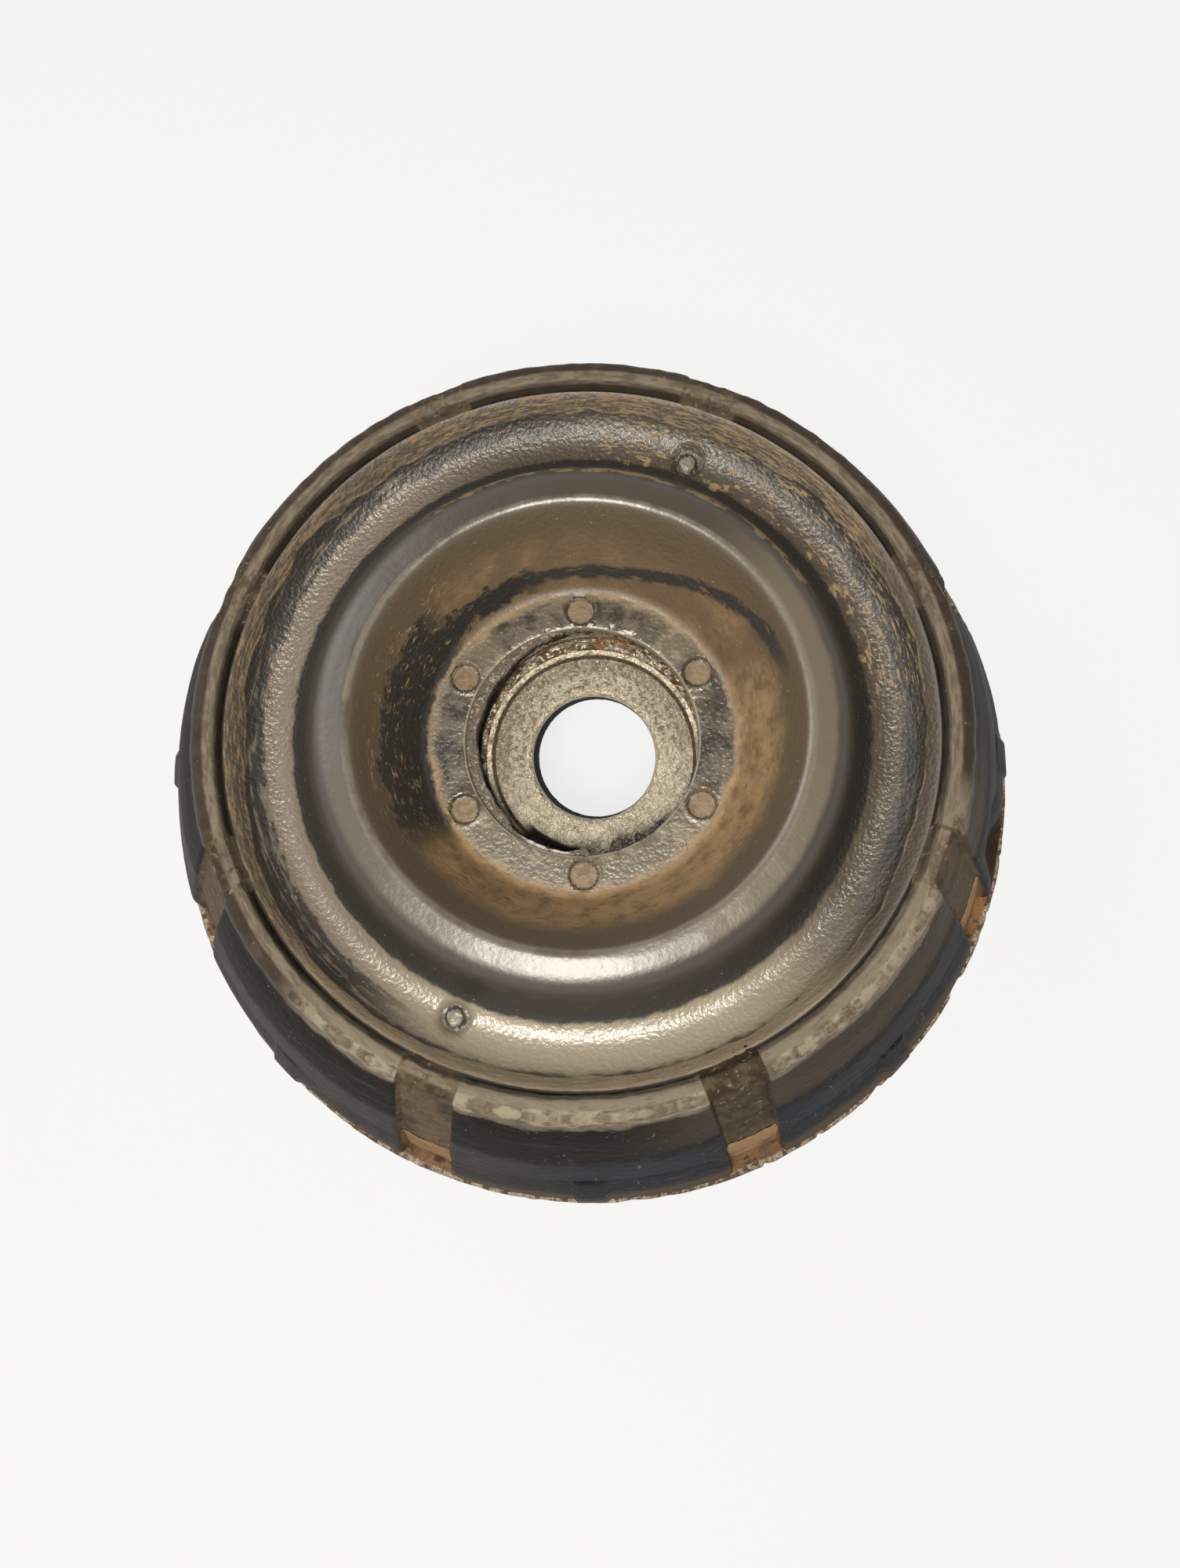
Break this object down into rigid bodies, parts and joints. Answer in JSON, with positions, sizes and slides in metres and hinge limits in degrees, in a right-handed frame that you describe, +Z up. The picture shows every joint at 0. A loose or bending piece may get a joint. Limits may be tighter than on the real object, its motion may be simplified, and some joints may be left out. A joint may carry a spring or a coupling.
{
  "type": "bonded rubber mount",
  "caption": "Round bonded rubber mount: a pressed dish in a lobed rubber wall on a steel base ring, with a torn loose steel hub at its middle.",
  "frame": {"origin": "centre of the plane that the base ring stands on", "axes": "+Z up along the mount's axis, out of the bowl; +Y towards one dimple in the trough, turned by 23 degrees"},
  "size_m": [0.15, 0.15, 0.043],
  "materials": {
    "rubber": "black moulded rubber, dusty in the bowl and on the lip",
    "pressed_steel": "phosphated, brown where the pin marks show it",
    "rusty_steel": "bare edge, rusty between the lobes",
    "turned_steel": "turned, pitted and dusty"
  },
  "bodies": {
    "root": {"rubber_body": "rubber", "dish_plate": "pressed_steel", "base_ring": "rusty_steel", "centre_hub": "turned_steel"}
  },
  "joints": []
}
